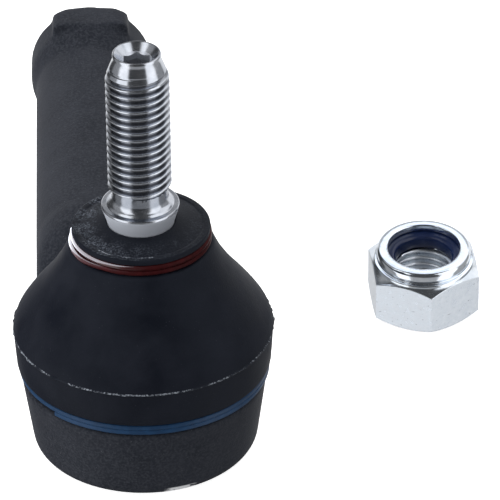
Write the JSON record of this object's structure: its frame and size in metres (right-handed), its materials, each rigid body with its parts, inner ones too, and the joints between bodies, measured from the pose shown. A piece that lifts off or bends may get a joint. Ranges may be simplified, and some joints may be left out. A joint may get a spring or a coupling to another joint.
{
  "type": "tie rod end",
  "caption": "Ball joint tie rod end with an offset, internally threaded shank, a clamped rubber dust boot, a threaded ball stud and a loose lock nut.",
  "frame": {"origin": "centre of the closing plate's outer face, on the stud's axis", "axes": "+Z along the stud towards its threaded tip, +Y along the shank away from the stud"},
  "size_m": [0.0756, 0.1108, 0.0701],
  "materials": {
    "painted_forging": "charcoal paint over a rough forged skin",
    "bearing_plastic": "moulded acetal, satin",
    "spring_steel": "oiled spring steel",
    "plate_steel": "stamped steel",
    "stud_zinc": "bright zinc plating, polished",
    "boot_rubber": "satin moulded rubber",
    "blue_ring": "satin blue coating on wire",
    "red_ring": "glossy dark red coating on wire",
    "nut_zinc": "bright zinc plating, satin on the flats",
    "nut_nylon": "glossy navy nylon"
  },
  "bodies": {
    "housing": {"housing": "painted_forging", "upper_bearing_shell": "bearing_plastic", "lower_bearing_shell": "bearing_plastic", "preload_disc_spring": "spring_steel", "closing_plate": "plate_steel"},
    "boot": {"dust_boot": "boot_rubber", "lower_clamp_ring": "blue_ring"},
    "boot_neck": {"upper_clamp_ring": "red_ring"},
    "stud": {"ball_stud": "stud_zinc"},
    "lock_nut": {"lock_nut_body": "nut_zinc", "lock_nut_insert": "nut_nylon"}
  },
  "joints": [
    {"name": "boot_turn", "type": "hinge", "parent": "housing", "child": "boot", "pos_m": [0, 0, 0.017], "axis": [0, 0, 1], "continuous": true},
    {"name": "stud_lean", "type": "hinge", "parent": "boot", "child": "boot_neck", "pos_m": [0, 0, 0.017], "axis": [1, 0, 0], "range_deg": [-20, 20], "deforming": ["dust_boot"]},
    {"name": "stud_spin", "type": "hinge", "parent": "boot_neck", "child": "stud", "pos_m": [0, 0, 0.017], "axis": [0, 0, 1], "continuous": true},
    {"name": "nut_lift", "type": "slide", "parent": "housing", "child": "lock_nut", "axis": [0, -0.086, 0.9963], "range_m": [0, 0.08]}
  ]
}
